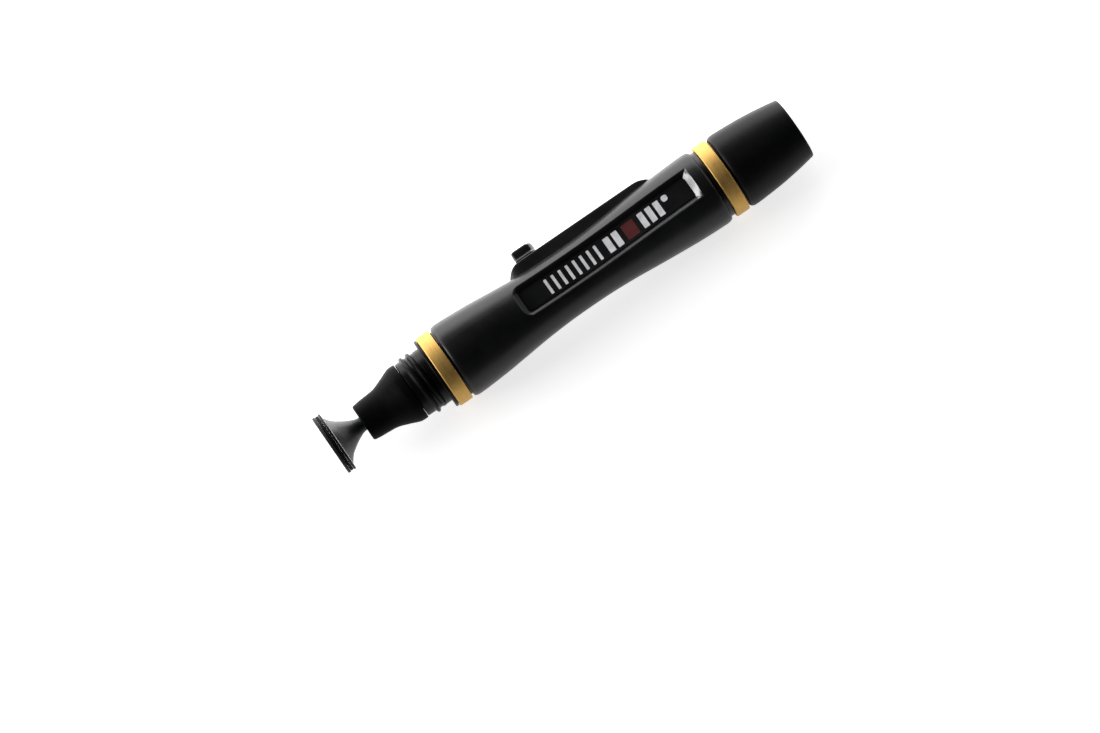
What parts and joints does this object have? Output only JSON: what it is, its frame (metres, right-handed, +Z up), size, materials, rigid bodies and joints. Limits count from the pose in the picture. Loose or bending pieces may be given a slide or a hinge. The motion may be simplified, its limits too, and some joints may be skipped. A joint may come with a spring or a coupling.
{
  "type": "lens cleaning pen",
  "caption": "Waisted black pen with gold trim rings: a thumb slider pushes a brush out of one end, and a flexible round cleaning pad stands on a threaded neck at the other.",
  "frame": {"origin": "on the table under the middle of the pen's bounding box", "axes": "+X along the pen towards the brush end (-X towards the cleaning tip), +Y towards the slider rail and thumb knob, +Z up, out of the label recess; the pen's own axis is parallel to X at z = 8.229 mm and y = -1.636 mm"},
  "size_m": [0.1116, 0.0198, 0.0165],
  "materials": {
    "satin_black": "satin moulded black plastic",
    "shroud_black": "smooth semi-gloss moulded black plastic",
    "neck_black": "matt moulded black plastic",
    "label_print": "black printed strip with plain pale bars and a small dark red block",
    "gold_trim": "gold anodised, fine circular brushing",
    "tip_rubber": "soft black rubber, slight sheen",
    "tip_foam": "fine-celled dark foam",
    "pad_chamois": "black carbon-charged chamois, matt nap",
    "inner_plastic": "dark grey natural-finish moulded plastic",
    "steel": "bright drawn steel",
    "resin": "amber potting resin",
    "bristle": "dark soft natural hair"
  },
  "bodies": {
    "pen_body": {"barrel": "satin_black", "label_plate": "label_print", "neck_ring": "gold_trim", "brush_ring": "gold_trim", "threaded_neck": "neck_black", "nose_cone": "neck_black", "tip_stem_base": "tip_rubber", "stem_retainer": "steel", "bulkhead_plug": "inner_plastic", "ring_sleeve": "inner_plastic", "guide_bush": "inner_plastic", "brush_shroud": "shroud_black"},
    "brush_slider": {"thumb_knob": "satin_black", "slider_shoe": "inner_plastic", "detent_spring": "steel", "brush_carriage": "inner_plastic", "brush_ferrule": "steel", "bristle_plug": "resin", "brush_bristles": "bristle"},
    "tip_link": {"tip_stem_link": "tip_rubber"},
    "tip_head": {"tip_trumpet": "tip_rubber", "tip_disc": "tip_rubber", "tip_foam": "tip_foam", "tip_pad": "pad_chamois"}
  },
  "joints": [
    {"name": "brush_slide", "type": "slide", "parent": "pen_body", "child": "brush_slider", "axis": [1, 0, 0], "range_m": [0, 0.024]},
    {"name": "tip_nod", "type": "hinge", "parent": "pen_body", "child": "tip_link", "pos_m": [-0.04763, -0.00164, 0.00823], "axis": [0, 1, 0], "range_deg": [-12, 12], "stiffness_Nm_per_rad": 0.008},
    {"name": "tip_sway", "type": "hinge", "parent": "tip_link", "child": "tip_head", "pos_m": [-0.04922, -0.00164, 0.00823], "axis": [0, 0, 1], "range_deg": [-12, 12], "stiffness_Nm_per_rad": 0.008}
  ]
}
